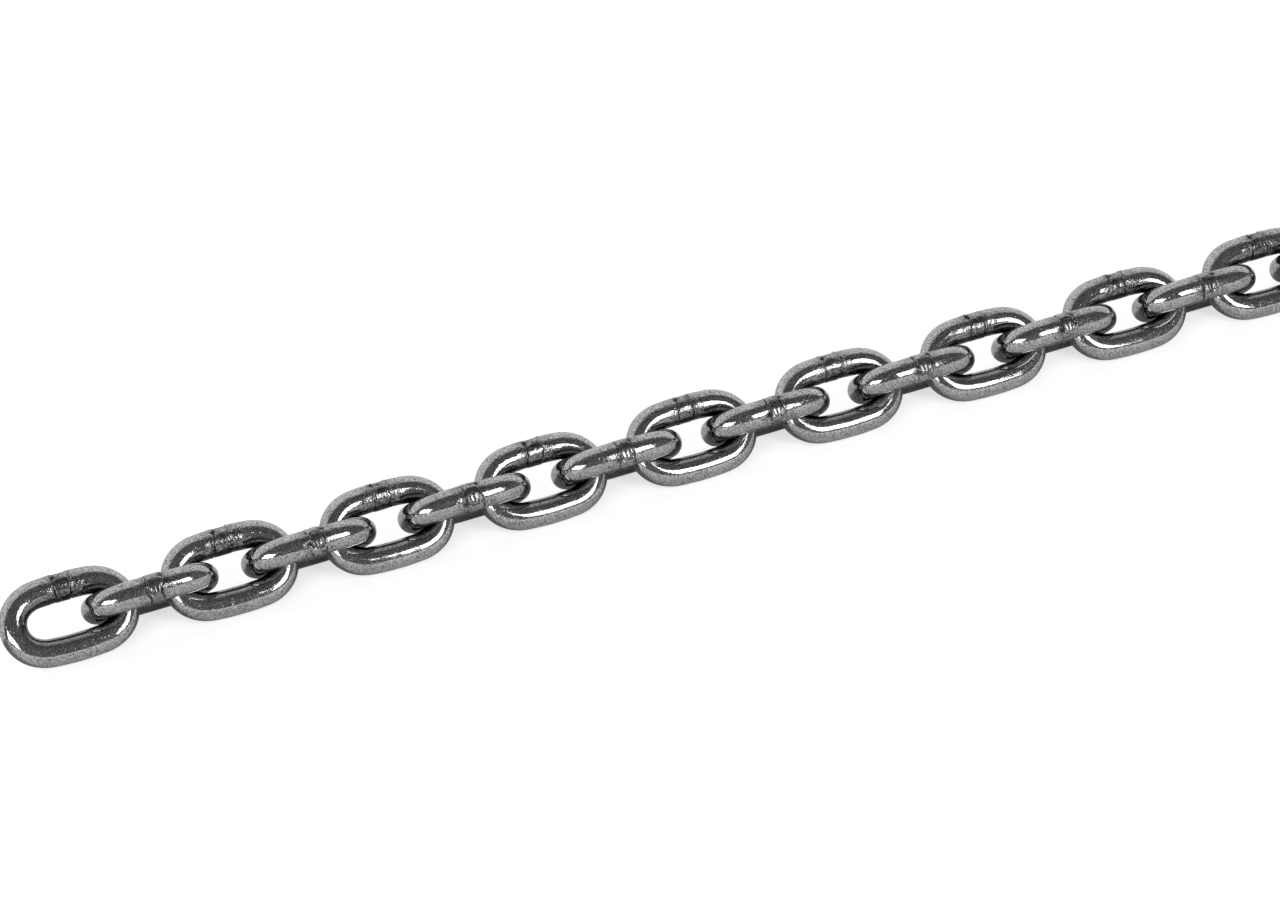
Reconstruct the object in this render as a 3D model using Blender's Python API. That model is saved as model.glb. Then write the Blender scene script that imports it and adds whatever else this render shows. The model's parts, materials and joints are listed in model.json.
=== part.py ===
"""A one metre length of calibrated round steel link chain, laid out straight on a level floor.

Every link is a bar of round steel bent into an oval and butt welded on one long side. Each link
is turned a quarter turn from the one before it and hangs in its round end. Laid on a floor, a
chain comes to rest on the lower long sides of its links, so the links lean back and forward in
turn by half of that quarter turn, with their welds on top.

Frame: +X runs along the chain, +Z is up. The origin is on the floor, under the chain's middle.
Units are metres.
"""

import math

import bmesh
import bpy
from mathutils import Matrix, Vector

# Driving sizes of the chain
WIRE_DIAMETER = 0.010
INSIDE_LENGTH = 0.030  # the pitch, three wire diameters
OUTSIDE_WIDTH = 0.032
LINK_COUNT = 33
SEAT_GAP = 0.00045  # play left between the crowns of two links where they bear on each other
QUARTER_TURN = math.radians(90)  # from each link to the next, about the chain's length
LEAN = QUARTER_TURN / 2  # each link's tilt from the floor, back and forward in turn

# Bend of the round ends: a tight crown between two wider shoulders, as on a bar bent round a mandrel
CROWN_RADIUS = 0.0102  # of the bar's centre line, so that the next link's bar lies close inside it
SHOULDER_TURN = math.radians(30)  # from each long side to the crown
CROWN_TURN = math.radians(180) - 2 * SHOULDER_TURN

# Butt weld: a low collar of upset steel round one long side
WELD_CENTRE_BACK = 0.0002  # along X from the link's middle, on links that lean back
WELD_CENTRE_FORWARD = -0.0008  # and on links that lean forward
WELD_HALF_LENGTH = 0.0031
WELD_SHOULDER = 0.0009  # length over which the collar rises from the bar
WELD_RAISE = 0.00025

# Fineness of the bent bar
SIDES = 12  # a flat side faces the floor when the link leans by LEAN
SHOULDER_STEPS = 2
CROWN_STEPS = 6

# Worked out from the sizes above
WIRE_RADIUS = WIRE_DIAMETER / 2
HALF_WIDTH = (OUTSIDE_WIDTH - WIRE_DIAMETER) / 2  # from a link's middle line to each long side's
SHOULDER_RADIUS = CROWN_RADIUS + (HALF_WIDTH - CROWN_RADIUS) / (1 - math.cos(SHOULDER_TURN))
END_LENGTH = CROWN_RADIUS + (SHOULDER_RADIUS - CROWN_RADIUS) * math.sin(SHOULDER_TURN)
CROWN_REACH = (INSIDE_LENGTH + WIRE_DIAMETER) / 2  # from a link's middle to the bar's centre at its ends
STRAIGHT_HALF = CROWN_REACH - END_LENGTH
SPACING = INSIDE_LENGTH - SEAT_GAP  # from one link's middle to the next one's
FLAT_DEPTH = WIRE_RADIUS * math.cos(math.pi / SIDES)  # from the bar's centre line to a flat side
AXIS_HEIGHT = HALF_WIDTH * math.sin(LEAN) + FLAT_DEPTH

STEEL_COLOUR = (0.42, 0.42, 0.43, 1.0)
STEEL_ROUGHNESS = 0.28


def clear_scene():
    """Removes whatever the file opened with."""
    for obj in list(bpy.data.objects):
        bpy.data.objects.remove(obj)


def polished_steel():
    """Bright drawn steel."""
    material = bpy.data.materials.new("polished_steel")
    material.use_nodes = True
    shader = material.node_tree.nodes["Principled BSDF"]
    shader.inputs["Base Color"].default_value = STEEL_COLOUR
    shader.inputs["Metallic"].default_value = 1.0
    shader.inputs["Roughness"].default_value = STEEL_ROUGHNESS
    return material


def bar_section(bm):
    """The round bar's section where the plain side meets the left end, as a ring of edges.

    A corner is outermost, so that flat sides face 45 degrees down and up.
    """
    upright = Matrix.Rotation(QUARTER_TURN, 4, "Y")
    place = Matrix.Translation((-STRAIGHT_HALF, -HALF_WIDTH, 0))
    bmesh.ops.create_circle(bm, segments=SIDES, radius=WIRE_RADIUS, matrix=place @ upright)
    return list(bm.edges)


def bend(bm, edges, centre_x, centre_y, angle, steps):
    """Carries the ring of edges round a centre in the link's plane, anticlockwise."""
    spun = bmesh.ops.spin(
        bm,
        geom=edges,
        cent=(centre_x, centre_y, 0),
        axis=(0, 0, 1),
        angle=angle,
        steps=steps,
        use_merge=False,
        use_duplicate=False,
    )
    return [item for item in spun["geom_last"] if isinstance(item, bmesh.types.BMEdge)]


def bend_end(bm, edges, side):
    """Carries the ring of edges half a turn round one end: side is -1 for the left, 1 for the right."""
    shoulder_x = side * STRAIGHT_HALF
    shoulder_y = side * (SHOULDER_RADIUS - HALF_WIDTH)
    crown_x = side * (CROWN_REACH - CROWN_RADIUS)
    edges = bend(bm, edges, shoulder_x, shoulder_y, SHOULDER_TURN, SHOULDER_STEPS)
    edges = bend(bm, edges, crown_x, 0, CROWN_TURN, CROWN_STEPS)
    return bend(bm, edges, shoulder_x, -shoulder_y, SHOULDER_TURN, SHOULDER_STEPS)


def run_straight(bm, edges, to_x, side_y, raise_by=0.0):
    """Extrudes the ring of edges along a long side to to_x, and sets how far it stands above the bar."""
    grown = bmesh.ops.extrude_edge_only(bm, edges=edges)["geom"]
    verts = [item for item in grown if isinstance(item, bmesh.types.BMVert)]
    centre_y = side_y * HALF_WIDTH
    for vert in verts:
        spoke = Vector((0, vert.co.y - centre_y, vert.co.z)).normalized()
        reach = spoke * (WIRE_RADIUS + raise_by)
        vert.co = Vector((to_x, centre_y + reach.y, reach.z))
    return [item for item in grown if isinstance(item, bmesh.types.BMEdge)]


def link_mesh(name, weld_centre, material):
    """One closed link, lying in its local XY plane, with the weld on its +Y side at weld_centre."""
    bm = bmesh.new()
    start = bar_section(bm)
    foot = WELD_HALF_LENGTH + WELD_SHOULDER
    # Along the plain side to the right, round the right end, and back along the welded side
    ring = run_straight(bm, start, STRAIGHT_HALF, -1)
    ring = bend_end(bm, ring, 1)
    weld_profile = ((foot, 0), (WELD_HALF_LENGTH, WELD_RAISE), (-WELD_HALF_LENGTH, WELD_RAISE), (-foot, 0))
    for to_x, raise_by in weld_profile:
        ring = run_straight(bm, ring, weld_centre + to_x, 1, raise_by)
    ring = run_straight(bm, ring, -STRAIGHT_HALF, 1)
    # Round the left end, where the last ring lands on the first and closes the link
    bend_end(bm, ring, -1)
    bmesh.ops.remove_doubles(bm, verts=bm.verts, dist=WIRE_RADIUS / 1000)
    bmesh.ops.recalc_face_normals(bm, faces=bm.faces)
    mesh = bpy.data.meshes.new(name)
    bm.to_mesh(mesh)
    bm.free()
    mesh.materials.append(material)
    mesh.shade_smooth()
    return mesh


def hang_link(step, side, held_by, meshes):
    """Hangs a link in the round end of the one that holds it, step links to that side of the middle one.

    The pivot is an empty in the middle of the holder's round end, a quarter turn on from the
    holder about X. Turning it about its own Z swings the link, and all that hangs from it.
    """
    name = f"link_{LINK_COUNT // 2 + 1 + side * step:02d}"
    leans_back = step % 2 == 0
    pivot = bpy.data.objects.new(f"{name}_pivot", None)
    pivot.parent = held_by
    pivot.location = (side * CROWN_REACH, 0, 0)
    pivot.rotation_euler = (-QUARTER_TURN if leans_back else QUARTER_TURN, 0, 0)
    link = bpy.data.objects.new(name, meshes[leans_back])
    link.parent = pivot
    link.location = (side * (SPACING - CROWN_REACH), 0, 0)
    for obj in (pivot, link):
        bpy.context.scene.collection.objects.link(obj)
    return link


def lay_chain():
    """Sets the middle link on the floor and hangs the rest in a row to its left and right."""
    steel = polished_steel()
    meshes = {
        True: link_mesh("link_leaning_back", WELD_CENTRE_BACK, steel),
        False: link_mesh("link_leaning_forward", WELD_CENTRE_FORWARD, steel),
    }
    middle = LINK_COUNT // 2
    first = bpy.data.objects.new(f"link_{middle + 1:02d}", meshes[True])
    first.location = (0, 0, AXIS_HEIGHT)
    first.rotation_euler = (LEAN, 0, 0)
    bpy.context.scene.collection.objects.link(first)
    for side in (-1, 1):
        held_by = first
        for step in range(1, middle + 1):
            held_by = hang_link(step, side, held_by, meshes)


clear_scene()
lay_chain()
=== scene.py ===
"""The looks of a metre of bright round steel chain, laid out straight on a pale studio floor.

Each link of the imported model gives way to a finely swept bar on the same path: the round steel,
its butt weld with the trimmed collar and the clamp's imprint, the heat colour beside it, and the
fine pits that tumbling leaves all over. Units are metres, +Z is up and +X runs along the chain.
"""

import json
import logging
import math
from dataclasses import dataclass, field
from enum import Enum

import bpy
import numpy as np
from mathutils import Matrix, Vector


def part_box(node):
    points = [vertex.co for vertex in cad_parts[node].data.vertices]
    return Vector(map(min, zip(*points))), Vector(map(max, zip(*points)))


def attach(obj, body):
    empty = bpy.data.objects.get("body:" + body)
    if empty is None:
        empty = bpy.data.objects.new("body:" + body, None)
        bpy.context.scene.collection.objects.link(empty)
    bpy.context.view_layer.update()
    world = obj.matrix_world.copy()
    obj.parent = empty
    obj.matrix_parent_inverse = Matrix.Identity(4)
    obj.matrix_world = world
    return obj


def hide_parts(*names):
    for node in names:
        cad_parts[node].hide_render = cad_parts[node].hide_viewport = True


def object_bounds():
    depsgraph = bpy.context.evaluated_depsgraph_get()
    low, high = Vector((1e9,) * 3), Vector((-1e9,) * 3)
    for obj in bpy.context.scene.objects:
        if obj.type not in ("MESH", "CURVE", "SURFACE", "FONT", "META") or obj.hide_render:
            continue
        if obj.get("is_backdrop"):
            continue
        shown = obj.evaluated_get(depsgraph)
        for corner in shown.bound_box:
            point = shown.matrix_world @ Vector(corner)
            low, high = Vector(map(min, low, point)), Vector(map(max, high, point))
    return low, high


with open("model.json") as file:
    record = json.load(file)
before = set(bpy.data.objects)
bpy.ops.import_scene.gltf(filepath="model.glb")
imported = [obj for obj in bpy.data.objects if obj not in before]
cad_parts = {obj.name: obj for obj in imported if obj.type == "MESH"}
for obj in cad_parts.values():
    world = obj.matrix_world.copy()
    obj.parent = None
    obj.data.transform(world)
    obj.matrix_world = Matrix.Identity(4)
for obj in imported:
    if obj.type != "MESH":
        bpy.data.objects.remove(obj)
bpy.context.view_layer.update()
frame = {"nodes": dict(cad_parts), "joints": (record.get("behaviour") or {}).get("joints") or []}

Tree = bpy.types.ShaderNodeTree
Socket = bpy.types.NodeSocket

LOG = logging.getLogger("chain")
MM = 0.001
FULL_TURN = 2.0 * math.pi
LATTICE_SPREAD = 0.7  # of the lattice's random heights, so that most lie between -1 and 1
LEAST_COLUMNS = 3  # of the lattice, round the bar
NOISE_MIDDLE = 0.5  # what a Noise texture's strength varies about


class Lean(Enum):
    """How far a link is turned about +X from lying flat, in degrees, and which way round its weld is."""

    BACK = (45.0, -1.0)
    FORWARD = (135.0, 1.0)

    @property
    def turn(self) -> float:
        """The turn about +X in radians."""
        return math.radians(self.value[0])

    @property
    def weld_way(self) -> float:
        """1 where the weld is as ButtWeld states it, -1 where the link is turned end for end."""
        return self.value[1]


class Mask(Enum):
    """The point attributes that tell the finish where it changes."""

    HEAT = "weld_heat"
    PEEL = "orange_peel"
    SEAM = "trim_seam"
    WORN = "worn_seat"
    # The inner side, which the colour darkens as painted shade
    INNER = "inner_side"


def smooth_step(value: np.ndarray) -> np.ndarray:
    """Rises from 0 to 1 as value does, flat at both ends: 3 v squared less 2 v cubed.

    Args:
        value: The numbers to ease, cut to the range from 0 to 1.

    Returns:
        The eased numbers.
    """
    cut = np.clip(value, 0.0, 1.0)
    return cut * cut * (3.0 - 2.0 * cut)


def centred_step(value: np.ndarray) -> np.ndarray:
    """A smooth step whose middle lies at 0 and which is 1 long."""
    return smooth_step(value + 0.5)


def bell(value: np.ndarray) -> np.ndarray:
    """The bell curve: e to the power of minus value squared."""
    return np.exp(-value * value)


def lattice_noise(
    random: np.random.Generator, along: np.ndarray, turns: np.ndarray, cell: float, girth: float
) -> np.ndarray:
    """Random heights at the nodes of a lattice, eased from node to node in both directions.

    Args:
        random: Where the heights come from.
        along: Distances along the bar, as a column.
        turns: Places round the bar as shares of a whole turn, as a row.
        cell: The lattice's spacing.
        girth: The bar's girth, which a whole number of cells goes round.

    Returns:
        Heights over the grid, mostly between -1 and 1.
    """
    columns = max(LEAST_COLUMNS, round(girth / cell))
    run = (along - along.min()) / cell
    row = np.floor(run).astype(int)
    column = np.floor(turns * columns).astype(int)
    nodes = random.normal(0.0, LATTICE_SPREAD, (row.max() + 2, columns))
    down = smooth_step(run - row)
    side = smooth_step(turns * columns - column)
    near = nodes[row, column % columns] * (1.0 - side) + nodes[row, (column + 1) % columns] * side
    far = nodes[row + 1, column % columns] * (1.0 - side) + nodes[row + 1, (column + 1) % columns] * side
    return near * (1.0 - down) + far * down


@dataclass(frozen=True)
class BentBar:
    """The centre line of a link: slightly bowed long sides, and round ends of three arcs each.

    Places along it are measured from the middle of the welded side, positive towards +X.
    """

    bar_radius: float = 5.0 * MM
    half_width: float = 11.0 * MM
    crown_radius: float = 10.2 * MM
    crown_reach: float = 20.0 * MM
    side_turn: float = math.radians(5.0)
    shoulder_turn: float = math.radians(30.0)

    @property
    def radii(self) -> tuple[float, float]:
        """The radii of the long side's bow and of the shoulder, from the link's length and width.

        Along X, the side's radius times the sine of its turn, plus the shoulder's radius times
        the rise of the sine over its turn, makes up what the crown leaves of the reach. Along Y
        the same holds of the falls of the cosine and the half width.
        """
        sines = (math.sin(self.side_turn), math.sin(self.shoulder_turn))
        cosines = (math.cos(self.side_turn), math.cos(self.shoulder_turn))
        along_x = (sines[0], sines[1] - sines[0])
        along_y = (1.0 - cosines[0], cosines[0] - cosines[1])
        left_x = self.crown_reach - self.crown_radius * (1.0 - sines[1])
        left_y = self.half_width - self.crown_radius * cosines[1]
        side, shoulder = np.linalg.solve((along_x, along_y), (left_x, left_y))
        return float(side), float(shoulder)

    @property
    def quarter(self) -> float:
        """Length along the bar from the middle of a long side to the tip of a crown."""
        side, shoulder = self.radii
        crown = self.crown_radius * (math.pi / 2.0 - self.shoulder_turn)
        return side * self.side_turn + shoulder * (self.shoulder_turn - self.side_turn) + crown

    @property
    def lap(self) -> float:
        """Length along the bar once round the link: four quarters."""
        return 4.0 * self.quarter

    def place(self, along: np.ndarray) -> tuple[np.ndarray, np.ndarray]:
        """Points of the centre line, and the way outwards there, in the link's plane.

        The first quarter is three arcs, each tangent to the one before: the side's bow, the
        shoulder and the crown. The other three quarters are its mirror images.

        Args:
            along: Distances along the bar from the middle of the welded side.

        Returns:
            The points and the outward unit vectors, each as rows of x and y.
        """
        side, shoulder = self.radii
        turn = np.mod(along, self.lap)
        number = np.floor(turn / self.quarter).astype(int) % 4
        folded = np.where(number % 2 == 0, turn - number * self.quarter, (number + 1) * self.quarter - turn)
        side_end = side * self.side_turn
        shoulder_end = side_end + shoulder * (self.shoulder_turn - self.side_turn)
        in_side = np.minimum(folded, side_end) / side
        in_shoulder = np.clip(folded - side_end, 0.0, shoulder_end - side_end) / shoulder
        in_crown = np.maximum(folded - shoulder_end, 0.0) / self.crown_radius
        angle = in_side + in_shoulder + in_crown
        arcs = [folded > shoulder_end, folded > side_end]
        offset = side - shoulder
        radius = np.select(arcs, [self.crown_radius, shoulder], side)
        shoulder_x = offset * math.sin(self.side_turn)
        shoulder_y = self.half_width - side + offset * math.cos(self.side_turn)
        centre_x = np.select(arcs, [self.crown_reach - self.crown_radius, shoulder_x], 0.0)
        centre_y = np.select(arcs, [0.0, shoulder_y], self.half_width - side)
        x = centre_x + radius * np.sin(angle)
        y = centre_y + radius * np.cos(angle)
        side_x = np.where(number < 2, 1.0, -1.0)
        side_y = np.where((number == 0) | (number == 3), 1.0, -1.0)
        points = np.column_stack((side_x * x, side_y * y))
        outward = np.column_stack((side_x * np.sin(angle), side_y * np.cos(angle)))
        return points, outward


@dataclass(frozen=True)
class Ragged:
    """A strength that strays round the bar: a level, a swing about it, and the bounds that cut it."""

    level: float
    swing: float
    least: float
    most: float

    def strength(self, wander: np.ndarray) -> np.ndarray:
        """The level plus the swing times the wander, kept within the bounds."""
        return np.clip(self.level + self.swing * wander, self.least, self.most)


@dataclass(frozen=True)
class Hollow:
    """A round or oval dent: its section angle and that angle's spread, its radii, depth and dirt."""

    turn: float
    spread: float
    size: tuple[float, float]
    depth: float
    dirt: float


@dataclass(frozen=True)
class ClampImprint:
    """The mark of the welding clamp on the outer side: an oval with strokes, a groove and a lip.

    Lengths along and round the bar are in metres. Other places are shares of the oval's own
    size, where 1 is its outline, or turns in radians from its middle.
    """

    turn: float = math.radians(2.0)
    spread: float = 0.06
    length: float = 4.6 * MM
    height: float = 6.2 * MM
    squareness: float = 2.6  # 2 is an ellipse, and more is squarer
    flat_depth: float = 0.45 * MM
    flat_ramp: float = 0.5
    line_width: float = 0.13  # of the groove and of the lip
    groove_depth: float = 0.22 * MM
    groove_strength: Ragged = Ragged(0.8, 0.3, 0.1, 1.3)
    lip_height: float = 0.14 * MM
    lip_place: float = 1.27
    lip_ramp: float = 0.35  # radians round the bar, over which the lip comes in
    lip_start: float = 0.3  # the share of that ramp which lies before the middle
    lip_strength: Ragged = Ragged(0.9, 0.3, 0.2, 1.5)
    margin: float = 0.25  # over which the strokes fade towards the outline
    stroke_spacing: float = 1.6 * MM
    stroke_depth: float = 0.12 * MM
    stroke_width: float = 0.5
    stroke_fan: float = 0.5
    stroke_slip: float = 0.5
    stroke_dirt: float = 0.8
    # The upper part of the imprint is darkened as painted shade
    top_shade: float = 0.45
    top_start: float = 0.6
    top_ramp: float = 0.25
    # How strongly the imprint's mask darkens, its dirt and its painted shade alike
    dirt: float = 0.75


@dataclass(frozen=True)
class ButtWeld:
    """The upset collar of a weld, and the marks that trimming, heat and the clamp leave round it.

    Places are stated for a link that leans forward. Turns are section angles in radians from the
    outer side. A spread is a standard deviation from link to link.
    """

    left_edge: float = -2.8 * MM
    right_edge_outer: float = 2.5 * MM
    right_edge_inner: float = 3.4 * MM
    place_spread: float = 0.25 * MM
    rise: float = 0.20 * MM
    ramp: float = 0.45 * MM
    edge_wander: float = 0.34 * MM
    edge_waves: int = 11
    edge_fade: float = 0.8  # the power of a wave's number that its height is divided by
    seam_depth: float = 0.28 * MM
    seam_width: float = 0.26 * MM
    seam_strength: Ragged = Ragged(0.75, 0.35, 0.15, 1.4)
    rim: float = 0.14 * MM
    rim_place: float = 2.2  # seam widths outside the edge
    rim_strength: Ragged = Ragged(0.6, 0.5, 0.0, 1.6)
    flash_pits: int = 9
    flash_pit_depth: float = 0.30 * MM
    flash_pit_radius: float = 0.45 * MM
    flash_pit_sizes: tuple[float, float] = (0.6, 1.3)  # least and most, as shares of the radius
    flash_pit_strengths: tuple[float, float] = (0.4, 1.0)
    notch: Hollow = Hollow(math.radians(-49.0), 0.10, (1.10 * MM, 0.95 * MM), 0.40 * MM, 1.2)
    notch_lip: float = 0.16 * MM
    notch_lip_place: float = 1.6  # notch radii round the bar from the notch's middle
    notch_lip_share: float = 0.4  # of the notch's own radius round the bar
    scorch: Hollow = Hollow(math.radians(19.0), 0.12, (1.45 * MM, 1.35 * MM), 0.12 * MM, 1.3)
    scorch_outside: float = 0.4 * MM  # from the left edge to the scorch's middle
    scorch_level: float = 0.8
    scorch_swing: float = 0.15
    imprint: ClampImprint = ClampImprint()
    peel_reach: float = 5.5 * MM
    peel_rise: float = 1.0 * MM
    peel_fade: float = 2.4 * MM
    peel_on_collar: float = 0.6
    peel_outer: float = 0.30  # what the outer side has of the inner side's peel
    peel_turn: float = 1.5  # from the outer side to where the peel is in full
    peel_cells: tuple[float, float] = (0.75 * MM, 1.7 * MM)
    peel_depths: tuple[float, float] = (0.030 * MM, 0.045 * MM)
    heat_reach: float = 4.5 * MM


@dataclass(frozen=True)
class SteelFinish:
    """Bright tumbled steel: a hard grey metal with fine pits, cloudy gloss, darker seams and painted shade on
    its inner side.
    """

    name: str
    tint: tuple[float, float, float]
    roughness: float
    pit_depth: float
    grain: float

    def build(self) -> bpy.types.Material:
        """Makes the material from the pitting group and the group of heat colour, soiling and painted shade.

        Returns:
            The finished material.
        """
        material = bpy.data.materials.new(self.name)
        material.use_nodes = True
        tree = material.node_tree
        shader = tree.nodes["Principled BSDF"]
        shader.inputs["Metallic"].default_value = 1.0
        place = tree.nodes.new("ShaderNodeTexCoord")
        pits = group_node(tree, PittedSkin().group())
        pits.inputs["Grain"].default_value = self.grain
        pits.inputs["Plain Roughness"].default_value = self.roughness
        tree.links.new(place.outputs["Object"], pits.inputs["Position"])
        soil_and_shade = group_node(tree, SoiledAndShadedColour().group())
        soil_and_shade.inputs["Steel"].default_value = (*self.tint, 1.0)
        tree.links.new(place.outputs["Object"], soil_and_shade.inputs["Position"])
        for mask, socket in (
            (Mask.HEAT, "Heat"),
            (Mask.PEEL, "Peel"),
            (Mask.SEAM, "Seam"),
            (Mask.WORN, "Worn"),
            (Mask.INNER, "Inner"),
        ):
            reader = tree.nodes.new("ShaderNodeAttribute")
            reader.attribute_name = mask.value
            for node in (pits, soil_and_shade):
                if socket in node.inputs:
                    tree.links.new(reader.outputs["Fac"], node.inputs[socket])
        tree.links.new(pits.outputs["Shade"], soil_and_shade.inputs["Shade"])
        tree.links.new(soil_and_shade.outputs["Color"], shader.inputs["Base Color"])
        tree.links.new(pits.outputs["Roughness"], shader.inputs["Roughness"])
        bump = tree.nodes.new("ShaderNodeBump")
        bump.inputs["Strength"].default_value = 1.0
        bump.inputs["Distance"].default_value = self.pit_depth
        tree.links.new(pits.outputs["Height"], bump.inputs["Height"])
        tree.links.new(bump.outputs["Normal"], shader.inputs["Normal"])
        return material


def new_group(name: str, takes: dict[str, str], gives: dict[str, str]) -> Tree:
    """Starts a shader node group with named sockets.

    Args:
        name: The group's name.
        takes: Socket type by the name of each input.
        gives: Socket type by the name of each output.

    Returns:
        The group, with its input and output nodes in place.
    """
    group = bpy.data.node_groups.new(name, "ShaderNodeTree")
    for label, kind in takes.items():
        group.interface.new_socket(name=label, in_out="INPUT", socket_type=kind)
    for label, kind in gives.items():
        group.interface.new_socket(name=label, in_out="OUTPUT", socket_type=kind)
    group.nodes.new("NodeGroupInput")
    group.nodes.new("NodeGroupOutput")
    return group


def group_node(tree: Tree, group: Tree) -> bpy.types.Node:
    """Places a group in a material's tree.

    Args:
        tree: The material's tree.
        group: The group to place.

    Returns:
        The node that stands for the group.
    """
    node = tree.nodes.new("ShaderNodeGroup")
    node.node_tree = group
    return node


def math_node(tree: Tree, operation: str, *values: Socket | float) -> Socket:
    """Adds a Math node, wiring sockets in and setting plain numbers.

    Args:
        tree: The tree that the node goes into.
        operation: Blender's name of the operation.
        values: Up to three sockets or numbers.

    Returns:
        The node's output socket.
    """
    node = tree.nodes.new("ShaderNodeMath")
    node.operation = operation
    for slot, value in zip(node.inputs, values):
        if isinstance(value, Socket):
            tree.links.new(value, slot)
        else:
            slot.default_value = value
    return node.outputs[0]


def noise(tree: Tree, position: Socket, scale: Socket | float, detail: float) -> Socket:
    """Adds a Noise texture read at position.

    Args:
        tree: The tree that the node goes into.
        position: The socket that gives the place in metres.
        scale: Features per metre, as a number or a socket.
        detail: Octaves of finer noise.

    Returns:
        The socket of the noise's strength, from 0 to 1.
    """
    node = tree.nodes.new("ShaderNodeTexNoise")
    node.inputs["Detail"].default_value = detail
    tree.links.new(position, node.inputs["Vector"])
    if isinstance(scale, Socket):
        tree.links.new(scale, node.inputs["Scale"])
    else:
        node.inputs["Scale"].default_value = scale
    return node.outputs["Fac"]


def multiply(tree: Tree, first: Socket, second: Socket) -> Socket:
    """Multiplies two colours.

    Args:
        tree: The tree that the node goes into.
        first: One colour's socket.
        second: The other colour's socket.

    Returns:
        The socket of the product.
    """
    node = tree.nodes.new("ShaderNodeVectorMath")
    node.operation = "MULTIPLY"
    tree.links.new(first, node.inputs[0])
    tree.links.new(second, node.inputs[1])
    return node.outputs[0]


@dataclass(frozen=True)
class PittedSkin:
    """The shader group that gives the height, roughness and shade of finely pitted steel.

    Height is a weak fine grain less round pits, plus a coarse grain where the clamp has left
    orange peel. Roughness and shade follow the pits, the peel and a slow cloud, roughness the
    seams and shade both grains too. The numbers say how strongly, and one below 0 takes away.
    """

    name: str = "pitted skin"
    grain_detail: float = 2.0
    coarse_share: float = 0.75  # the coarse grain's and the pits' features per metre, of the fine grain's
    cloud_scale: float = 210.0
    cloud_detail: float = 3.0
    pit_taper: float = -3.3  # of the cone with the distance from its middle
    pit_rarity: float = 3.0
    pit_depth: float = 2.0
    pit_depth_in_peel: float = 3.0
    grain_height: float = 0.3
    coarse_height: float = 2.5
    rough_cloud: float = 0.10
    rough_seam: float = 0.25
    rough_peel: float = 0.10
    rough_pit: float = 0.12
    rough_least: float = 0.06
    shade_plain: float = 1.06
    shade_pit: float = -0.75
    shade_grain: float = 3.2
    shade_cloud: float = 0.4
    shade_peel: float = -0.2
    shade_coarse: float = 2.1
    shade_least: float = 0.15
    shade_most: float = 1.6

    def group(self) -> Tree:
        """Makes the group, or finds it.

        Returns:
            The group, made once and then shared.
        """
        if self.name in bpy.data.node_groups:
            return bpy.data.node_groups[self.name]
        number = "NodeSocketFloat"
        takes = {"Position": "NodeSocketVector"}
        takes.update({label: number for label in ("Grain", "Plain Roughness", "Peel", "Seam")})
        gives = {label: number for label in ("Height", "Roughness", "Shade")}
        group = new_group(self.name, takes, gives)
        source = group.nodes["Group Input"].outputs
        sink = group.nodes["Group Output"].inputs
        place = source["Position"]
        peel = source["Peel"]
        grain = noise(group, place, source["Grain"], self.grain_detail)
        coarse_scale = math_node(group, "MULTIPLY", source["Grain"], self.coarse_share)
        coarse = noise(group, place, coarse_scale, self.grain_detail)
        cloud = noise(group, place, self.cloud_scale, self.cloud_detail)
        cells = group.nodes.new("ShaderNodeTexVoronoi")
        group.links.new(place, cells.inputs["Vector"])
        group.links.new(coarse_scale, cells.inputs["Scale"])
        # A pit is a cone round each cell's point, and only a few cells have a deep one
        cone = math_node(group, "MULTIPLY_ADD", cells.outputs["Distance"], self.pit_taper, 1.0)
        cone = math_node(group, "MAXIMUM", cone, 0.0)
        deep = math_node(group, "POWER", cells.outputs["Color"], self.pit_rarity)
        pit = math_node(group, "MULTIPLY", cone, deep)
        depth = math_node(group, "MULTIPLY_ADD", peel, self.pit_depth_in_peel, self.pit_depth)
        pit = math_node(group, "MULTIPLY", pit, depth)
        sunk = math_node(group, "MULTIPLY", pit, -1.0)
        height = math_node(group, "MULTIPLY_ADD", grain, self.grain_height, sunk)
        coarse_peel = math_node(group, "MULTIPLY", coarse, peel)
        height = math_node(group, "MULTIPLY_ADD", coarse_peel, self.coarse_height, height)
        group.links.new(height, sink["Height"])
        off_grain = math_node(group, "SUBTRACT", grain, NOISE_MIDDLE)
        off_cloud = math_node(group, "SUBTRACT", cloud, NOISE_MIDDLE)
        off_coarse = math_node(group, "SUBTRACT", coarse, NOISE_MIDDLE)
        rough = source["Plain Roughness"]
        for pattern, amount in (
            (off_cloud, self.rough_cloud),
            (source["Seam"], self.rough_seam),
            (peel, self.rough_peel),
            (pit, self.rough_pit),
        ):
            rough = math_node(group, "MULTIPLY_ADD", pattern, amount, rough)
        group.links.new(math_node(group, "MAXIMUM", rough, self.rough_least), sink["Roughness"])
        shade = self.shade_plain
        for pattern, amount in (
            (pit, self.shade_pit),
            (off_grain, self.shade_grain),
            (off_cloud, self.shade_cloud),
            (peel, self.shade_peel),
            (math_node(group, "MULTIPLY", off_coarse, peel), self.shade_coarse),
        ):
            shade = math_node(group, "MULTIPLY_ADD", pattern, amount, shade)
        shade = math_node(group, "MAXIMUM", shade, self.shade_least)
        group.links.new(math_node(group, "MINIMUM", shade, self.shade_most), sink["Shade"])
        return group


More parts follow.
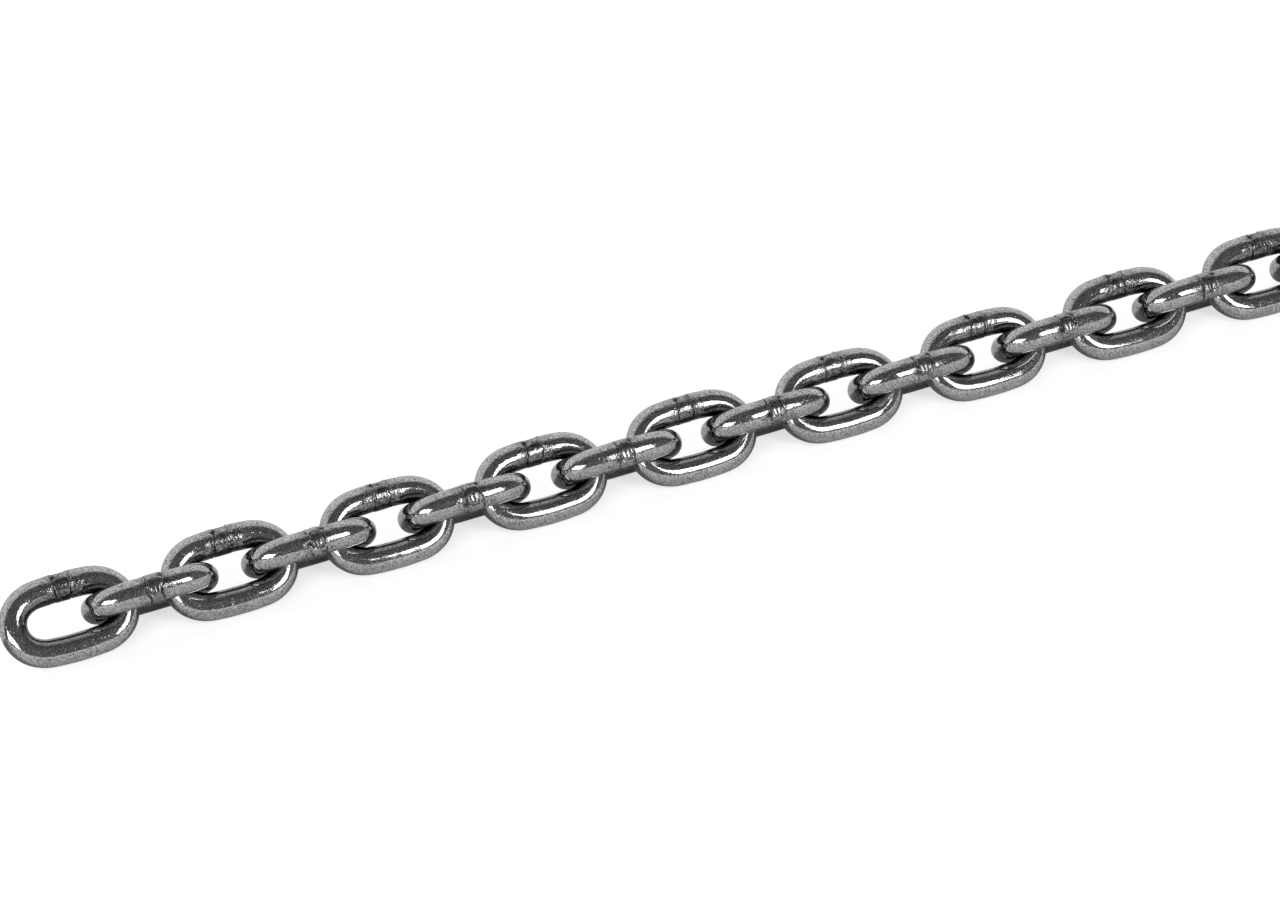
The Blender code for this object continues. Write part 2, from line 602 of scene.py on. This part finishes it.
@dataclass(frozen=True)
class SoiledAndShadedColour:
    """The shader group that turns the steel's own grey into its colour at a place.

    The weld's heat leaves a band of straw and then a faint blue. Trim seams, worn seats and burnt
    spots hold dirt. The upper part of the clamp's imprint and the link's inner side are darkened as painted
    shade.
    """

    name: str = "soiled colour"
    patch_scale: float = 420.0
    patch_detail: float = 3.0
    clean: tuple[float, float, float, float] = (1.0, 1.0, 1.0, 1.0)
    straw: tuple[float, float, float, float] = (1.0, 0.985, 0.96, 1.0)
    blue: tuple[float, float, float, float] = (0.90, 0.885, 0.93, 1.0)
    straw_place: float = 0.5
    heat_patches: float = 0.5
    heat_rise: float = 3.0
    worn_patches: float = 1.6
    worn_least: float = -0.3
    dirt_and_shade_share: float = 0.9
    burn_start: float = 0.47
    burn_rise: float = 4.0
    burn_most: float = 0.6
    dirt_most: float = 0.9
    inner_shade: float = -0.45

    def group(self) -> Tree:
        """Makes the group, or finds it.

        Returns:
            The group, made once and then shared.
        """
        if self.name in bpy.data.node_groups:
            return bpy.data.node_groups[self.name]
        number = "NodeSocketFloat"
        colour = "NodeSocketColor"
        takes = {"Position": "NodeSocketVector", "Steel": colour}
        takes.update({label: number for label in ("Shade", "Heat", "Seam", "Worn", "Inner")})
        group = new_group(self.name, takes, {"Color": colour})
        source = group.nodes["Group Input"].outputs
        sink = group.nodes["Group Output"].inputs
        heat = source["Heat"]
        patches = noise(group, source["Position"], self.patch_scale, self.patch_detail)
        tint = group.nodes.new("ShaderNodeValToRGB")
        ramp = tint.color_ramp
        ramp.elements[0].color = self.clean
        ramp.elements[1].color = self.blue
        ramp.elements.new(self.straw_place).color = self.straw
        off_patches = math_node(group, "SUBTRACT", patches, NOISE_MIDDLE)
        warmth = math_node(group, "MULTIPLY_ADD", off_patches, self.heat_patches, heat)
        near_weld = math_node(group, "MINIMUM", math_node(group, "MULTIPLY", heat, self.heat_rise), 1.0)
        warmth = math_node(group, "MULTIPLY", warmth, near_weld)
        group.links.new(warmth, tint.inputs["Fac"])
        rubbed = math_node(group, "MULTIPLY_ADD", patches, self.worn_patches, self.worn_least)
        dirt = math_node(group, "MULTIPLY", source["Worn"], rubbed)
        # The weld's mask holds dirt and, on the imprint's upper part, painted shade
        dirt = math_node(group, "MAXIMUM", dirt, math_node(group, "MULTIPLY", source["Seam"], self.dirt_and_shade_share))
        burnt = math_node(group, "SUBTRACT", patches, self.burn_start)
        burnt = math_node(group, "MULTIPLY", burnt, self.burn_rise)
        burnt = math_node(group, "MULTIPLY", math_node(group, "MAXIMUM", burnt, 0.0), heat)
        dirt = math_node(group, "MAXIMUM", dirt, math_node(group, "MINIMUM", burnt, self.burn_most))
        dirt = math_node(group, "MINIMUM", math_node(group, "MAXIMUM", dirt, 0.0), self.dirt_most)
        level = math_node(group, "MULTIPLY", source["Shade"], math_node(group, "SUBTRACT", 1.0, dirt))
        # Painted shade: the link's inner side is darkened
        inner = math_node(group, "MULTIPLY_ADD", source["Inner"], self.inner_shade, 1.0)
        level = math_node(group, "MULTIPLY", level, inner)
        shaded = multiply(group, source["Steel"], tint.outputs["Color"])
        lit = group.nodes.new("ShaderNodeVectorMath")
        lit.operation = "SCALE"
        group.links.new(shaded, lit.inputs[0])
        group.links.new(level, lit.inputs["Scale"])
        group.links.new(lit.outputs[0], sink["Color"])
        return group


@dataclass
class ChainLink:
    """One welded link, swept as a grid of rings along the bar by points round it."""

    name: str
    number: int
    middle: tuple[float, float, float]
    lean: Lean
    bar: BentBar
    weld: ButtWeld
    rings_plain: int = 96
    rings_weld: int = 96
    points_round: int = 76
    weld_zone: float = 5.6 * MM
    lump: float = 0.028 * MM
    lump_waves: int = 14
    lump_laps: tuple[int, int] = (3, 22)  # waves once round the link, least and one past the most
    lump_turns: tuple[int, int] = (0, 4)  # waves once round the bar, in the same way
    lump_fade: float = 0.12
    seat_reach: float = 4.2 * MM
    seat_turn: float = 0.95
    inner_start: float = 1.65  # radians from the outer side to where the painted shade of the inner side begins
    inner_ramp: float = 0.55
    random: np.random.Generator = field(init=False)

    def __post_init__(self) -> None:
        """Seeds this link's own small irregularities."""
        self.random = np.random.default_rng(self.number)

    def stations(self) -> np.ndarray:
        """Places of the rings along the bar, close together over the weld.

        Returns:
            Distances from the middle of the welded side, rising once round the link.
        """
        near = np.linspace(-self.weld_zone, self.weld_zone, self.rings_weld, endpoint=False)
        far = np.linspace(self.weld_zone, self.bar.lap - self.weld_zone, self.rings_plain, endpoint=False)
        return np.concatenate((near, far))

    def lumps(self, along: np.ndarray, around: np.ndarray) -> np.ndarray:
        """Gentle unevenness of the drawn and tumbled bar: half a sum of waves in both directions.

        Args:
            along: Distances along the bar, as a column.
            around: Section angles, as a row.

        Returns:
            Heights over the grid.
        """
        total = np.zeros((along.shape[0], around.shape[1]))
        for _ in range(self.lump_waves):
            laps = self.random.integers(*self.lump_laps)
            turns = self.random.integers(*self.lump_turns)
            phase = self.random.uniform(0.0, FULL_TURN, 2)
            wave = np.sin(FULL_TURN * laps * along / self.bar.lap + phase[0])
            wave = wave * np.cos(turns * around + phase[1])
            total += wave / (1.0 + self.lump_fade * laps)
        return self.lump * total / 2.0

    def wander(self, around: np.ndarray) -> np.ndarray:
        """How a cutter's edge strays round the bar: waves round the section, weaker as they get shorter.

        Args:
            around: Section angles, as a row.

        Returns:
            The straying over the row, about 1 in size.
        """
        total = np.zeros_like(around)
        for turns in range(1, self.weld.edge_waves + 1):
            phase = self.random.uniform(0.0, FULL_TURN)
            total += self.random.normal() * np.sin(turns * around + phase) / turns**self.weld.edge_fade
        return total

    def seam(self, beyond: np.ndarray, around: np.ndarray) -> tuple[np.ndarray, np.ndarray]:
        """A ragged trim seam: a bell-shaped groove that fades in places, with a rim outside it.

        Args:
            beyond: Distances outwards from the collar's edge, over the grid.
            around: Section angles from the outer side, as a row.

        Returns:
            The heights and the soiling mask over the grid.
        """
        weld = self.weld
        widths = beyond / weld.seam_width
        groove = weld.seam_strength.strength(self.wander(around)) * bell(widths)
        rim = weld.rim_strength.strength(self.wander(around)) * bell(widths - weld.rim_place)
        return weld.rim * rim - weld.seam_depth * groove, groove

    def dent(
        self, reach: np.ndarray, around: np.ndarray, place: float, turn: float, size: tuple[float, float]
    ) -> np.ndarray:
        """A round or oval hollow: the bell curve of the distance from its middle.

        Args:
            reach: Distances along the bar from the weld's side, as a column.
            around: Section angles from the outer side, as a row.
            place: Where its middle is along the bar.
            turn: Where its middle is round the bar.
            size: Its radii along and round the bar.

        Returns:
            Its strength over the grid, 1 in the middle.
        """
        across = 2.0 * self.bar.bar_radius * np.sin((around - turn) / 2.0)
        return bell(np.hypot((reach - place) / size[0], across / size[1]))

    def flash(self, reach: np.ndarray, around: np.ndarray, edges: list[np.ndarray]) -> np.ndarray:
        """Small pits where flash tore off: bells of a random place on either edge.

        Args:
            reach: Distances along the bar from the weld's side, as a column.
            around: Section angles from the outer side, as a row.
            edges: Where the collar's edges run, as rows.

        Returns:
            The pits' strength over the grid, from 0 to about 1.
        """
        weld = self.weld
        total = np.zeros((reach.shape[0], around.shape[1]))
        for _ in range(weld.flash_pits):
            edge = edges[self.random.integers(len(edges))]
            pick = self.random.integers(around.shape[1])
            size = weld.flash_pit_radius * self.random.uniform(*weld.flash_pit_sizes)
            place = edge[0, pick] + self.random.normal() * weld.seam_width
            pit = self.dent(reach, around, place, around[0, pick], (size, size))
            total += self.random.uniform(*weld.flash_pit_strengths) * pit
        return total

    def imprint(self, reach: np.ndarray, around: np.ndarray, middle: float) -> tuple[np.ndarray, np.ndarray]:
        """The clamp's imprint: a flattened oval with upright strokes, a groove round it and a lip.

        The oval's measure is a power of the share of its half length, plus the same power of the
        share of its half height, taken back to the first power. It is 1 on the outline.

        Args:
            reach: Distances along the bar from the weld's side, as a column.
            around: Section angles from the outer side, as a row.
            middle: Where the imprint's middle lies along the bar.

        Returns:
            The heights, and a mask of soiling with painted shade on the imprint's upper part, over the grid.
        """
        mark = self.weld.imprint
        off_middle = mark.turn + self.random.normal() * mark.spread
        across = np.mod(around - off_middle + math.pi, FULL_TURN) - math.pi
        long_part = np.abs((reach - middle) / (mark.length / 2.0)) ** mark.squareness
        tall_part = np.abs(across * self.bar.bar_radius / (mark.height / 2.0)) ** mark.squareness
        oval = (long_part + tall_part) ** (1.0 / mark.squareness)
        groove = bell((oval - 1.0) / mark.line_width) * mark.groove_strength.strength(self.wander(around))
        lip = bell((oval - mark.lip_place) / mark.line_width)
        lip = lip * smooth_step(across / mark.lip_ramp + mark.lip_start)
        lip = lip * mark.lip_strength.strength(self.wander(around))
        within = smooth_step((1.0 - oval) / mark.margin)
        fan = 1.0 + mark.stroke_fan * across
        slip = self.random.uniform(-mark.stroke_slip, mark.stroke_slip)
        strokes = np.sin(math.pi * (reach - middle) * fan / mark.stroke_spacing + slip)
        strokes = within * bell(strokes / mark.stroke_width)
        # The flat is a chord of the section, whose depth falls with the square of the height's share
        chord = np.clip(1.0 - tall_part ** (2.0 / mark.squareness), 0.0, 1.0)
        flat = smooth_step((1.0 - long_part) / mark.flat_ramp) * chord
        height = mark.lip_height * lip - mark.groove_depth * groove
        height = height - mark.flat_depth * flat - mark.stroke_depth * strokes
        # Painted shade: the upper part of the imprint is darkened
        painted_top_shade = mark.top_shade * within * smooth_step(mark.top_start - across / mark.top_ramp)
        return height, np.maximum(np.maximum(groove, mark.stroke_dirt * strokes), painted_top_shade)

    def relief(self, along: np.ndarray, around: np.ndarray) -> tuple[np.ndarray, dict[Mask, np.ndarray]]:
        """Height of the surface above the plain round bar, and the finish's masks.

        The collar is a smooth step up between its two edges. To it are added the seams along the
        edges, the pits of torn flash, the notch with its lip, the scorched dent, the clamp's
        imprint, the orange peel beside the weld and the bar's own lumps.

        Args:
            along: Distances along the bar from the middle of the welded side, as a column.
            around: Section angles from the outer side, as a row.

        Returns:
            The heights over the grid, and each mask over the same grid.
        """
        weld = self.weld
        half_lap = self.bar.lap / 2.0
        uneven = self.lumps(along, around)
        reach = self.lean.weld_way * (np.mod(along + half_lap, self.bar.lap) - half_lap)
        around = np.mod(self.lean.weld_way * around, FULL_TURN)
        shift = self.random.normal() * weld.place_spread
        left = weld.left_edge + shift + weld.edge_wander * self.wander(around)
        middle_right = (weld.right_edge_inner + weld.right_edge_outer) / 2.0
        swing_right = (weld.right_edge_inner - weld.right_edge_outer) / 2.0
        right = middle_right - swing_right * np.cos(around) + shift + weld.edge_wander * self.wander(around)
        inside = centred_step((reach - left) / weld.ramp) * centred_step((right - reach) / weld.ramp)
        left_height, left_groove = self.seam(left - reach, around)
        right_height, right_groove = self.seam(reach - right, around)
        torn = self.flash(reach, around, [left, right])
        notch_turn = weld.notch.turn + self.random.normal() * weld.notch.spread
        notch_place = weld.right_edge_outer + shift
        notch = self.dent(reach, around, notch_place, notch_turn, weld.notch.size)
        notch_length, notch_height = weld.notch.size
        lip_turn = notch_turn + weld.notch_lip_place * notch_height / self.bar.bar_radius
        lip_size = (notch_length, weld.notch_lip_share * notch_height)
        lip = self.dent(reach, around, notch_place, lip_turn, lip_size)
        scorch_turn = weld.scorch.turn + self.random.normal() * weld.scorch.spread
        scorch_place = weld.left_edge + shift - weld.scorch_outside
        scorch = self.dent(reach, around, scorch_place, scorch_turn, weld.scorch.size)
        middle = (weld.left_edge + weld.right_edge_outer) / 2.0 + shift
        imprint_height, imprint_dirt_and_shade = self.imprint(reach, around, middle)
        beyond = np.maximum(left - reach, reach - right)
        inner_turn = math.pi - np.abs(around - math.pi)
        inner_side = smooth_step(inner_turn / weld.peel_turn)
        peel = smooth_step((weld.peel_reach - beyond) / weld.peel_fade)
        peel = centred_step(beyond / weld.peel_rise) * peel
        peel = np.clip(peel + weld.peel_on_collar * inside, 0.0, 1.0)
        peel = peel * (weld.peel_outer + (1.0 - weld.peel_outer) * inner_side)
        height = weld.rise * inside + left_height + right_height + imprint_height
        height = height - weld.flash_pit_depth * torn + uneven
        height = height + weld.notch_lip * lip - weld.notch.depth * notch - weld.scorch.depth * scorch
        turns = around / FULL_TURN
        girth = FULL_TURN * self.bar.bar_radius
        for cell, depth in zip(weld.peel_cells, weld.peel_depths):
            height = height + depth * peel * lattice_noise(self.random, reach, turns, cell, girth)
        seat = bell((np.abs(reach) - self.bar.quarter) / self.seat_reach)
        seat = seat * bell((around - math.pi) / self.seat_turn)
        # The imprint's share is dirt in its grooves and painted shade on its upper part
        dirt = left_groove + right_groove + torn + weld.imprint.dirt * imprint_dirt_and_shade + weld.notch.dirt * notch
        patches = weld.scorch_level + weld.scorch_swing * self.wander(around)
        dirt = np.maximum(dirt, weld.scorch.dirt * scorch * patches)
        masks = {
            Mask.HEAT: bell(reach / weld.heat_reach) * np.ones_like(around),
            Mask.PEEL: peel,
            Mask.SEAM: np.clip(dirt, 0.0, 1.0),
            Mask.WORN: seat,
            # Painted shade on the link's inner side
            Mask.INNER: smooth_step((inner_turn - self.inner_start) / self.inner_ramp) * np.ones_like(reach),
        }
        return height, masks

    def build(self) -> bpy.types.Object:
        """Sweeps the section round the link and closes it into a mesh.

        A point is the centre line's point plus the radius times the outward way times the cosine
        of the section angle, plus the radius times the link's own upward way times its sine.

        Returns:
            The link's object, its place in its mesh.
        """
        along = self.stations()
        around = np.linspace(0.0, FULL_TURN, self.points_round, endpoint=False)
        centre, outward = self.bar.place(along)
        height, masks = self.relief(along[:, None], around[None, :])
        radius = self.bar.bar_radius + height
        local = np.empty((len(along), len(around), 3))
        local[:, :, 0] = centre[:, :1] + radius * np.cos(around) * outward[:, :1]
        local[:, :, 1] = centre[:, 1:] + radius * np.cos(around) * outward[:, 1:]
        local[:, :, 2] = radius * np.sin(around)
        turn = self.lean.turn
        points = np.empty_like(local)
        points[:, :, 0] = self.middle[0] + local[:, :, 0]
        points[:, :, 1] = self.middle[1] + local[:, :, 1] * math.cos(turn) - local[:, :, 2] * math.sin(turn)
        points[:, :, 2] = self.middle[2] + local[:, :, 1] * math.sin(turn) + local[:, :, 2] * math.cos(turn)
        obj = grid_object(self.name, points)
        for mask, values in masks.items():
            layer = obj.data.attributes.new(mask.value, "FLOAT", "POINT")
            layer.data.foreach_set("value", values.astype(np.float32).ravel())
        return obj


def grid_object(name: str, points: np.ndarray) -> bpy.types.Object:
    """Joins a grid of points, closed in both directions, into a smooth mesh object.

    Args:
        name: The object's name.
        points: Rings by points round each ring by x, y and z.

    Returns:
        The object, linked into the scene.
    """
    rings, round_count, _ = points.shape
    ring = np.arange(rings)[:, None]
    step = np.arange(round_count)[None, :]
    next_ring = (ring + 1) % rings
    next_step = (step + 1) % round_count
    corners = (
        ring * round_count + step,
        ring * round_count + next_step,
        next_ring * round_count + next_step,
        next_ring * round_count + step,
    )
    faces = np.stack(np.broadcast_arrays(*corners), axis=-1).reshape(-1, 4)
    mesh = bpy.data.meshes.new(name)
    mesh.vertices.add(rings * round_count)
    mesh.vertices.foreach_set("co", points.astype(np.float32).ravel())
    mesh.loops.add(faces.size)
    mesh.loops.foreach_set("vertex_index", faces.astype(np.int32).ravel())
    mesh.polygons.add(len(faces))
    mesh.polygons.foreach_set("loop_start", np.arange(0, faces.size, 4, dtype=np.int32))
    mesh.update(calc_edges=True)
    mesh.shade_smooth()
    obj = bpy.data.objects.new(name, mesh)
    bpy.context.scene.collection.objects.link(obj)
    return obj


@dataclass
class Chain:
    """The whole run of links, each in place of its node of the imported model."""

    bar: BentBar
    weld: ButtWeld
    finish: SteelFinish

    def lean_of(self, number: int) -> Lean:
        """The odd links lean back and the even ones forward."""
        return Lean.BACK if number % 2 == 1 else Lean.FORWARD

    def axis_height(self) -> float:
        """Height of every link's middle, which the joints between them share."""
        return frame["joints"][0]["pos_m"][2]

    def build(self) -> list[bpy.types.Object]:
        """Builds, dresses and places every link.

        Returns:
            The links' objects, from the free end in view to the other.
        """
        steel = self.finish.build()
        links = []
        for node in sorted(frame["nodes"]):
            low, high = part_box(node)
            number = int(node.split("_")[1])
            middle = ((low.x + high.x) / 2.0, 0.0, self.axis_height())
            link = ChainLink(f"{node}_bar", number, middle, self.lean_of(number), self.bar, self.weld)
            obj = link.build()
            obj.data.materials.append(steel)
            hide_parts(node)
            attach(obj, node)
            links.append(obj)
            LOG.info("%s: %d faces", obj.name, len(obj.data.polygons))
        return links


@dataclass(frozen=True)
class SoftBox:
    """A rectangular light, aimed at a point."""

    name: str
    place: tuple[float, float, float]
    width: float
    depth: float
    power: float
    aim: tuple[float, float, float] = (-0.2, 0.0, 0.0)

    def build(self) -> bpy.types.Object:
        """Adds the light and turns it to face its aim.

        Returns:
            The light's object.
        """
        data = bpy.data.lights.new(self.name, "AREA")
        data.shape = "RECTANGLE"
        data.size = self.width
        data.size_y = self.depth
        data.energy = self.power
        obj = bpy.data.objects.new(self.name, data)
        way = np.subtract(self.aim, self.place)
        obj.rotation_euler = Vector(way).to_track_quat("-Z", "Y").to_euler()
        obj.location = self.place
        bpy.context.scene.collection.objects.link(obj)
        return obj


@dataclass(frozen=True)
class Viewpoint:
    """The camera, set so that one link's middle falls on a chosen pixel of the 1280 by 900 frame."""

    heading: float = math.radians(21.45)
    look_down: float = math.radians(36.05)
    roll: float = math.radians(3.01)
    focal_px: float = 4500.0
    frame_px: tuple[float, float] = (1280.0, 900.0)
    anchor_node: str = "link_09"
    anchor_px: tuple[float, float] = (691.4, 437.8)
    anchor_depth: float = 1.6339
    sensor_mm: float = 36.0
    nearest: float = 0.05
    farthest: float = 50.0

    def build(self, axis_height: float) -> bpy.types.Object:
        """Adds the camera and makes it the scene's own.

        Forward is the heading turned towards +X and tipped down. The camera stands back from the
        anchor by its depth, less the anchor's offset from the middle of the frame.

        Args:
            axis_height: Height of the links' middles above the floor.

        Returns:
            The camera's object.
        """
        forward = np.array([
            math.sin(self.heading) * math.cos(self.look_down),
            math.cos(self.heading) * math.cos(self.look_down),
            -math.sin(self.look_down),
        ])
        level = np.cross(forward, (0.0, 0.0, 1.0))
        level /= np.linalg.norm(level)
        plumb = np.cross(forward, level)
        right = math.cos(self.roll) * level + math.sin(self.roll) * plumb
        down = -math.sin(self.roll) * level + math.cos(self.roll) * plumb
        low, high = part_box(self.anchor_node)
        anchor = np.array([(low.x + high.x) / 2.0, 0.0, axis_height])
        offset = (np.array(self.anchor_px) - np.array(self.frame_px) / 2.0) / self.focal_px
        place = anchor - self.anchor_depth * (forward + offset[0] * right + offset[1] * down)
        data = bpy.data.cameras.new("camera")
        data.sensor_fit = "HORIZONTAL"
        data.sensor_width = self.sensor_mm
        data.lens = self.focal_px * self.sensor_mm / self.frame_px[0]
        data.clip_start = self.nearest
        data.clip_end = self.farthest
        camera = bpy.data.objects.new("camera", data)
        camera.matrix_world = Matrix((
            (right[0], -down[0], -forward[0], place[0]),
            (right[1], -down[1], -forward[1], place[1]),
            (right[2], -down[2], -forward[2], place[2]),
            (0.0, 0.0, 0.0, 1.0),
        ))
        bpy.context.scene.collection.objects.link(camera)
        bpy.context.scene.camera = camera
        return camera


@dataclass(frozen=True)
class Studio:
    """A lit table, a sky of pale cards round a dim ceiling, and two soft boxes before the chain."""

    table_half: float = 9.0
    table_roughness: float = 0.7
    table_white: float = 0.86
    table_glow: float = 0.62
    table_mirrored_glow: float = 0.16
    contact_shade: float = 0.35
    contact_edges: tuple[float, float] = (6.0 * MM, 13.0 * MM)
    # Brightness by angle in the plane across the chain: 0 level in front, 90 overhead, 180 level behind
    sky: tuple[tuple[float, float], ...] = (
        (0.0, 0.92),
        (5.0, 0.92),
        (10.0, 0.17),
        (36.0, 0.19),
        (64.0, 0.14),
        (95.0, 0.14),
        (103.0, 0.46),
        (110.0, 0.76),
        (128.0, 0.88),
        (180.0, 0.95),
    )
    boxes: tuple[SoftBox, ...] = (
        SoftBox("near box", (0.105, -0.83, 0.56), width=0.38, depth=0.50, power=3.0),
        SoftBox("far box", (-2.6, -1.49, 1.03), width=1.8, depth=1.1, power=28.0),
    )

    def build_sky(self) -> None:
        """Makes the surroundings: a grey level by the angle of a direction about the X axis."""
        world = bpy.data.worlds.new("studio")
        bpy.context.scene.world = world
        world.use_nodes = True
        tree = world.node_tree
        backdrop = tree.nodes["Background"]
        way = tree.nodes.new("ShaderNodeTexCoord")
        parts = tree.nodes.new("ShaderNodeSeparateXYZ")
        tree.links.new(way.outputs["Generated"], parts.inputs[0])
        front = math_node(tree, "MULTIPLY", parts.outputs["Y"], -1.0)
        angle = math_node(tree, "ARCTAN2", math_node(tree, "MAXIMUM", parts.outputs["Z"], 0.0), front)
        share = math_node(tree, "DIVIDE", angle, math.pi)
        levels = tree.nodes.new("ShaderNodeValToRGB")
        ramp = levels.color_ramp
        for degrees, level in self.sky[1:-1]:
            ramp.elements.new(degrees / 180.0).color = (level, level, level, 1.0)
        ramp.elements[0].color = (*[self.sky[0][1]] * 3, 1.0)
        ramp.elements[len(self.sky) - 1].color = (*[self.sky[-1][1]] * 3, 1.0)
        tree.links.new(share, levels.inputs["Fac"])
        tree.links.new(levels.outputs["Color"], backdrop.inputs["Color"])

    def build_table(self) -> bpy.types.Object:
        """Lays the pale floor just under the lowest of the links.

        Returns:
            The table's object, which is stage and not part of the chain.
        """
        half = self.table_half
        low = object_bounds()[0][2]
        mesh = bpy.data.meshes.new("table")
        corners = [(-half, -half, low), (half, -half, low), (half, half, low), (-half, half, low)]
        mesh.from_pydata(corners, [], [(0, 1, 2, 3)])
        table = bpy.data.objects.new("table", mesh)
        material = bpy.data.materials.new("table")
        material.use_nodes = True
        shader = material.node_tree.nodes["Principled BSDF"]
        shader.inputs["Roughness"].default_value = self.table_roughness
        shader.inputs["Emission Color"].default_value = (1.0, 1.0, 1.0, 1.0)
        # Seen in the steel, the table is darker close to the chain, where the links shade it
        tree = material.node_tree
        sight = tree.nodes.new("ShaderNodeLightPath")
        place = tree.nodes.new("ShaderNodeTexCoord")
        parts = tree.nodes.new("ShaderNodeSeparateXYZ")
        tree.links.new(place.outputs["Object"], parts.inputs[0])
        near, far = self.contact_edges
        away = math_node(tree, "SUBTRACT", math_node(tree, "ABSOLUTE", parts.outputs["Y"]), near)
        away = math_node(tree, "DIVIDE", away, far - near)
        in_view = sight.outputs["Is Camera Ray"]
        open_floor = math_node(tree, "MINIMUM", math_node(tree, "MAXIMUM", away, self.contact_shade), 1.0)
        open_floor = math_node(tree, "MAXIMUM", open_floor, in_view)
        level = math_node(tree, "MULTIPLY", open_floor, self.table_white)
        tree.links.new(level, shader.inputs["Base Color"])
        extra = self.table_glow - self.table_mirrored_glow
        glow = math_node(tree, "MULTIPLY_ADD", in_view, extra, self.table_mirrored_glow)
        tree.links.new(math_node(tree, "MULTIPLY", glow, open_floor), shader.inputs["Emission Strength"])
        mesh.materials.append(material)
        bpy.context.scene.collection.objects.link(table)
        table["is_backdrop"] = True
        return table

    def build(self) -> None:
        """Builds the surroundings, the table and the soft boxes."""
        self.build_sky()
        self.build_table()
        for box in self.boxes:
            box.build()
        bpy.context.scene.view_settings.view_transform = "Standard"


def main() -> None:
    logging.basicConfig(level=logging.INFO, format="%(name)s: %(message)s")
    steel = SteelFinish(
        name="bright_steel",
        tint=(0.40, 0.40, 0.405),
        roughness=0.085,
        pit_depth=0.06 * MM,
        grain=1700.0,
    )
    chain = Chain(BentBar(), ButtWeld(), steel)
    links = chain.build()
    LOG.info("%d links built", len(links))
    Studio().build()
    Viewpoint().build(chain.axis_height())


if __name__ == "__main__":
    main()
